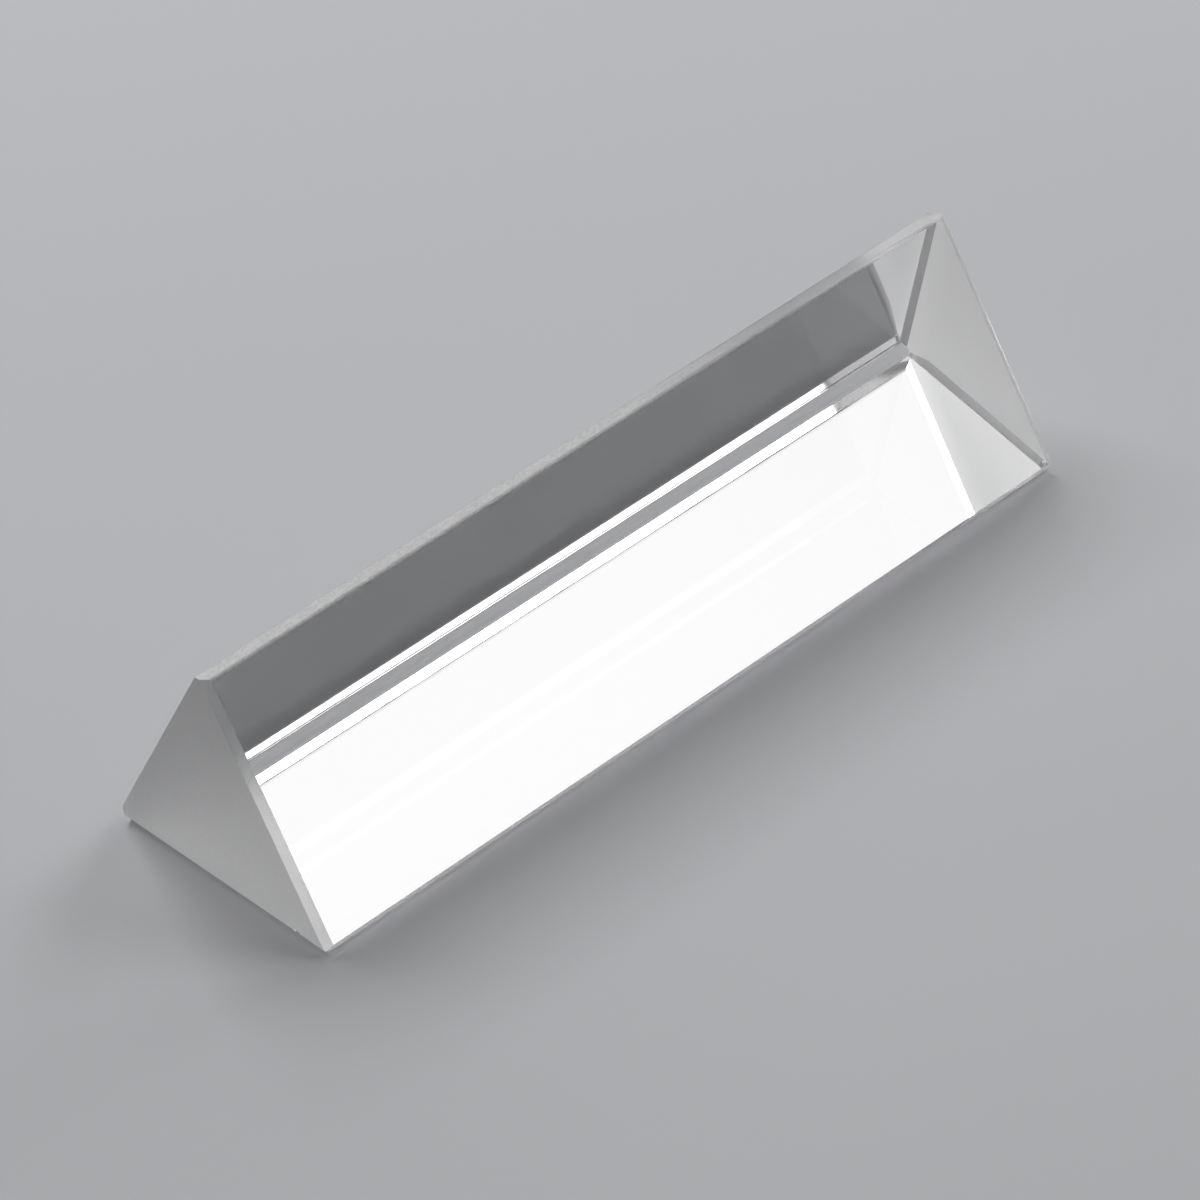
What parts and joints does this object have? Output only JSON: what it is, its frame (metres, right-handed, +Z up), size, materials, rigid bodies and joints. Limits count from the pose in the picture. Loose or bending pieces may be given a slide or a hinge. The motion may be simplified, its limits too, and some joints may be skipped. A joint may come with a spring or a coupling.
{
  "type": "triangular glass prism",
  "caption": "Solid equilateral triangular prism of clear crown glass with polished long faces, fine-ground ends and ground flats along its edges, for bending and splitting light.",
  "frame": {"origin": "middle of the rest face, at the bottom centre of the block's box", "axes": "+X along the block's length, +Y across it from the front polished face to the back one, +Z up from the rest face to the top edge"},
  "size_m": [0.08, 0.0238, 0.0206],
  "materials": {
    "crown_glass": "polished long faces, fine-ground ends, ground edge flats"
  },
  "bodies": {
    "root": {"prism_block": "crown_glass"}
  },
  "joints": []
}
